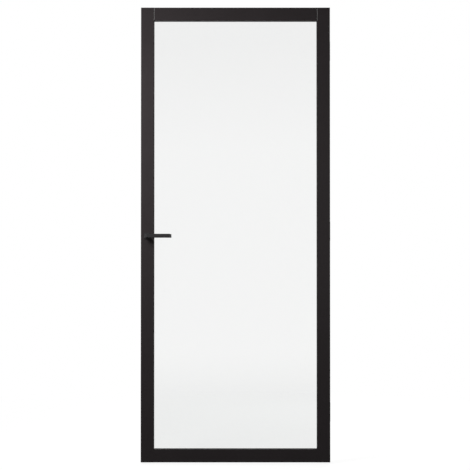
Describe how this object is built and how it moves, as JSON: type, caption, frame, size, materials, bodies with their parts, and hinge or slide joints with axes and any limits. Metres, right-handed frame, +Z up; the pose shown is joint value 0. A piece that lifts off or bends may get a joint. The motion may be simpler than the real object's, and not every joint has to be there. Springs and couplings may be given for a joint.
{
  "type": "glass door",
  "caption": "Interior door leaf: slim black frame round one clear pane, hung on butt hinges at the right, with a lever handle and magnetic latch at the left.",
  "frame": {"origin": "middle of the leaf's bottom edge, halfway through its thickness", "axes": "+X towards the hinge edge, -Y out of the front face, +Z up"},
  "size_m": [0.8832, 0.144, 2.115],
  "materials": {
    "frame_lacquer": "wood-based core with a satin black lacquer, faintly textured",
    "dowel_wood": "bare fluted beech",
    "clear_glass": "clear toughened float glass, polished",
    "glazing_rubber": "matt black rubber",
    "block_plastic": "black moulded plastic",
    "black_hardware": "fine matt black powder coat",
    "black_screws": "black passivated steel",
    "zinc_steel": "bright zinc-plated pressed steel",
    "latch_plastic": "smooth black acetal",
    "spring_steel": "plain spring steel and nickel"
  },
  "bodies": {
    "frame_side_hinges": {"hinge_bottom_frame_plate": "black_hardware", "hinge_bottom_pin": "black_hardware", "hinge_middle_frame_plate": "black_hardware", "hinge_middle_pin": "black_hardware", "hinge_top_frame_plate": "black_hardware", "hinge_top_pin": "black_hardware"},
    "door_leaf": {"lock_stile": "frame_lacquer", "hinge_stile": "frame_lacquer", "top_rail": "frame_lacquer", "bottom_rail": "frame_lacquer", "bottom_rail_dowels": "dowel_wood", "glass_pane": "clear_glass", "gasket_left": "glazing_rubber", "gasket_right": "glazing_rubber", "gasket_bottom": "glazing_rubber", "gasket_top": "glazing_rubber", "setting_blocks": "block_plastic", "side_spacer_blocks": "block_plastic", "front_rose_bush": "block_plastic", "rear_rose_bush": "block_plastic", "front_rose": "black_hardware", "rear_rose": "black_hardware", "lock_faceplate": "black_hardware", "hinge_bottom_door_plate": "black_hardware", "hinge_middle_door_plate": "black_hardware", "hinge_top_door_plate": "black_hardware", "faceplate_screws": "black_screws", "hinge_screws": "black_screws", "top_rail_screws": "black_screws", "front_rose_base": "zinc_steel", "rear_rose_base": "zinc_steel", "rose_screws": "zinc_steel", "lock_case": "zinc_steel", "lock_case_cover": "zinc_steel", "follower_spring": "spring_steel", "latch_spring": "spring_steel"},
    "lever_set": {"front_lever": "black_hardware", "rear_lever": "black_hardware", "spindle": "zinc_steel", "lock_follower": "zinc_steel", "lever_grub_screws": "black_screws"},
    "latch": {"latch_bolt": "latch_plastic", "latch_magnet": "spring_steel"}
  },
  "joints": [
    {"name": "door_swing", "type": "hinge", "parent": "frame_side_hinges", "child": "door_leaf", "pos_m": [0.43875, 0.025, 0], "axis": [0, 0, -1], "range_deg": [0, 170]},
    {"name": "lever_turn", "type": "hinge", "parent": "door_leaf", "child": "lever_set", "pos_m": [-0.412, 0, 1.052], "axis": [0, 1, 0], "range_deg": [0, 35], "stiffness_Nm_per_rad": 1.2, "springref_deg": -20.05, "deforming": ["follower_spring"]},
    {"name": "latch_slide", "type": "slide", "parent": "door_leaf", "child": "latch", "axis": [-1, 0, 0], "range_m": [0, 0.01], "stiffness_N_per_m": 40, "springref_m": -0.004, "deforming": ["latch_spring"]}
  ]
}
